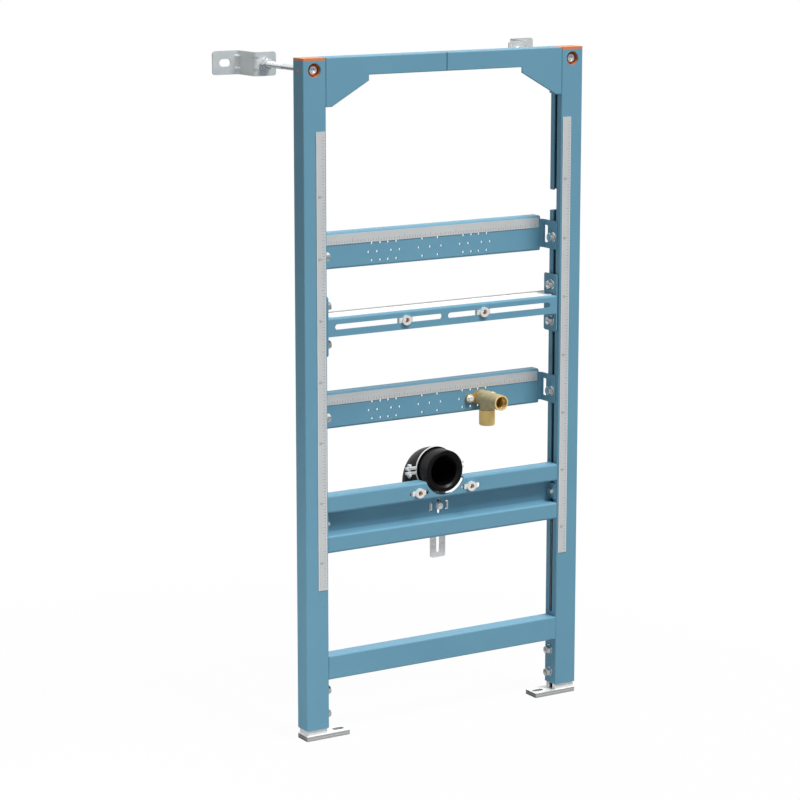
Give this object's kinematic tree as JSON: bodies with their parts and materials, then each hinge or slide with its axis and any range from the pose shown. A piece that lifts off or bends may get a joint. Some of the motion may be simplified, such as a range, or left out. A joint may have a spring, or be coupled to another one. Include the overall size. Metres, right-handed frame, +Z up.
{
  "type": "urinal installation frame",
  "caption": "Floor-standing blue steel frame with perforated rails, slotted bolt bar, brass water elbow and black waste elbow, bolted to floor and wall to carry a wall-hung urinal.",
  "frame": {"origin": "on the floor, on the underside of the left foot plate, under the middle of the left post", "axes": "+X to the right along the frame's front, +Y back to the wall, +Z up; the front faces -Y"},
  "size_m": [0.63, 0.232, 1.1205],
  "materials": {
    "blue_powder_coat": "satin blue powder coat on folded sheet steel",
    "zinc_plated_steel": "bright zinc plating on pressed steel",
    "graduated_strip": "satin light grey strip with printed graduation",
    "orange_plastic": "moulded orange plastic",
    "brass": "sand-cast and turned brass",
    "black_rubber": "moulded black rubber",
    "black_pipe": "black moulded drain pipe"
  },
  "bodies": {
    "feet": {"left_foot": "zinc_plated_steel", "right_foot": "zinc_plated_steel"},
    "frame": {"left_post": "blue_powder_coat", "right_post": "blue_powder_coat", "left_top_rail": "blue_powder_coat", "right_top_rail": "blue_powder_coat", "upper_fitting_rail": "blue_powder_coat", "lower_fitting_rail": "blue_powder_coat", "fixing_bar": "blue_powder_coat", "left_bar_bracket": "blue_powder_coat", "right_bar_bracket": "blue_powder_coat", "drain_rail": "blue_powder_coat", "bottom_rail": "blue_powder_coat", "left_wall_rod": "zinc_plated_steel", "right_wall_rod": "zinc_plated_steel", "left_wall_bracket": "zinc_plated_steel", "right_wall_bracket": "zinc_plated_steel", "left_fixing_sleeve": "zinc_plated_steel", "right_fixing_sleeve": "zinc_plated_steel", "left_drain_sleeve": "zinc_plated_steel", "right_drain_sleeve": "zinc_plated_steel", "pipe_clamp": "zinc_plated_steel", "pipe_support": "zinc_plated_steel", "left_height_scale": "graduated_strip", "right_height_scale": "graduated_strip", "upper_rail_scale": "graduated_strip", "lower_rail_scale": "graduated_strip", "fixing_bar_scale": "graduated_strip", "left_post_cap": "orange_plastic", "right_post_cap": "orange_plastic", "water_elbow": "brass", "drain_seal": "black_rubber", "drain_elbow": "black_pipe"}
  },
  "joints": [
    {"name": "leg_extension", "type": "slide", "parent": "feet", "child": "frame", "axis": [0, 0, 1], "range_m": [0, 0.2]}
  ]
}
